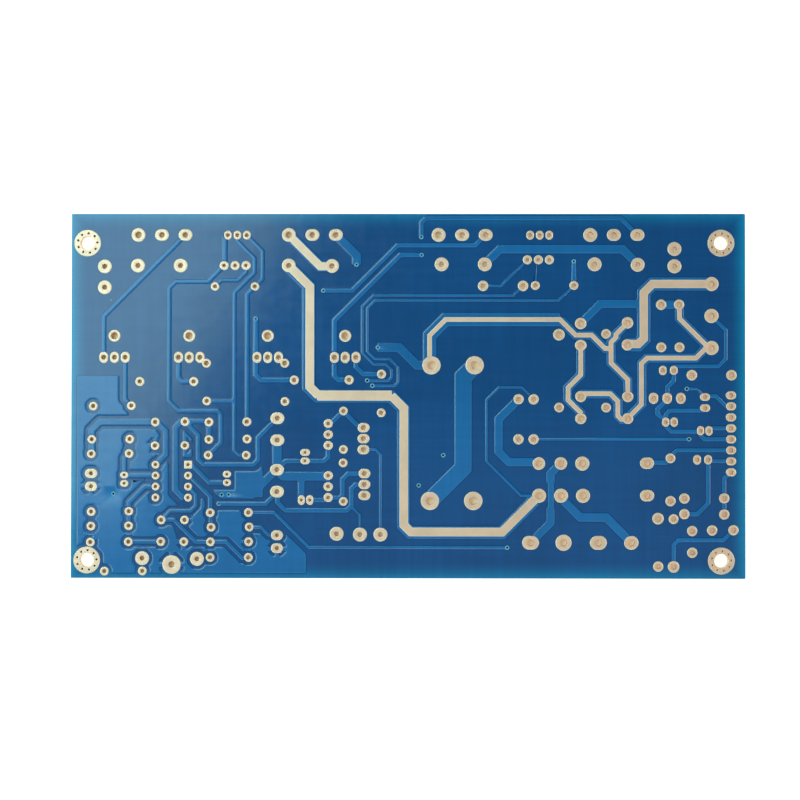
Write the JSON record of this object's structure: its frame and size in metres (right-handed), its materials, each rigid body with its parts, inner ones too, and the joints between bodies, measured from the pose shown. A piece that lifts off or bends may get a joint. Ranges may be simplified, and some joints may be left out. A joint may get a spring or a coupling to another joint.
{
  "type": "printed circuit board",
  "caption": "Bare power amplifier circuit board, solder side up, with gold-finished lands, lacquered tracks, bare heavy-current stripes and plated screw holes.",
  "frame": {"origin": "under the middle of the board's outline, on the surface that it lies on", "axes": "+X along the board's length, to the right in the picture; +Y across the board, up in the picture; +Z out of the solder side that the picture shows"},
  "size_m": [0.156, 0.0844, 0.0018],
  "materials": {
    "glass_epoxy": "blue lacquer over glass-epoxy laminate",
    "lacquered_copper": "copper under translucent blue lacquer",
    "gold_finish": "pale satin gold finish over copper"
  },
  "bodies": {
    "root": {"amplifier_supply_pour": "lacquered_copper", "bias_diode_lands": "gold_finish", "bias_tracks": "lacquered_copper", "bias_transistor_lands": "gold_finish", "bias_trimmer_lands": "gold_finish", "coupling_capacitor_lands": "gold_finish", "decoupling_pour": "lacquered_copper", "driver_resistor_lands": "gold_finish", "driver_tab_lands": "gold_finish", "driver_tracks": "lacquered_copper", "driver_transistor_lands": "gold_finish", "emitter_resistor_lands": "gold_finish", "feedback_ground_pour": "lacquered_copper", "feedback_network_tracks": "lacquered_copper", "feedback_tracks": "lacquered_copper", "film_capacitor_lands": "gold_finish", "first_pin_land": "gold_finish", "fuse_clip_lands": "gold_finish", "fuse_tracks": "lacquered_copper", "gate_resistor_lands": "gold_finish", "ground_pour": "lacquered_copper", "heavy_supply_tracks": "lacquered_copper", "input_connector_lands": "gold_finish", "input_pair_lands": "gold_finish", "input_stage_tracks": "lacquered_copper", "laminate": "glass_epoxy", "main_rail_bare_stripe": "gold_finish", "main_rail_copper": "lacquered_copper", "mounting_eyelets": "gold_finish", "output_coil_lands": "gold_finish", "output_drive_tracks": "lacquered_copper", "output_link_bare_stripe": "gold_finish", "output_link_copper": "lacquered_copper", "output_rail_bare_stripe": "gold_finish", "output_rail_copper": "lacquered_copper", "output_terminal_lands": "gold_finish", "power_transistor_lands": "gold_finish", "preamplifier_chip_lands": "gold_finish", "preamplifier_input_tracks": "lacquered_copper", "preamplifier_tracks": "lacquered_copper", "protection_chip_lands": "gold_finish", "protection_resistor_lands": "gold_finish", "protection_tracks": "lacquered_copper", "protection_transistor_lands": "gold_finish", "relay_coil_lands": "gold_finish", "relay_contact_bare_stripe": "gold_finish", "relay_contact_copper": "lacquered_copper", "relay_drive_tracks": "lacquered_copper", "relay_lands": "gold_finish", "relay_rail_bare_stripe": "gold_finish", "relay_rail_copper": "lacquered_copper", "reservoir_capacitor_lands": "gold_finish", "return_rail_bare_stripe": "gold_finish", "return_rail_copper": "lacquered_copper", "signal_resistor_lands": "gold_finish", "signal_supply_tracks": "lacquered_copper", "supply_terminal_lands": "gold_finish"}
  },
  "joints": []
}
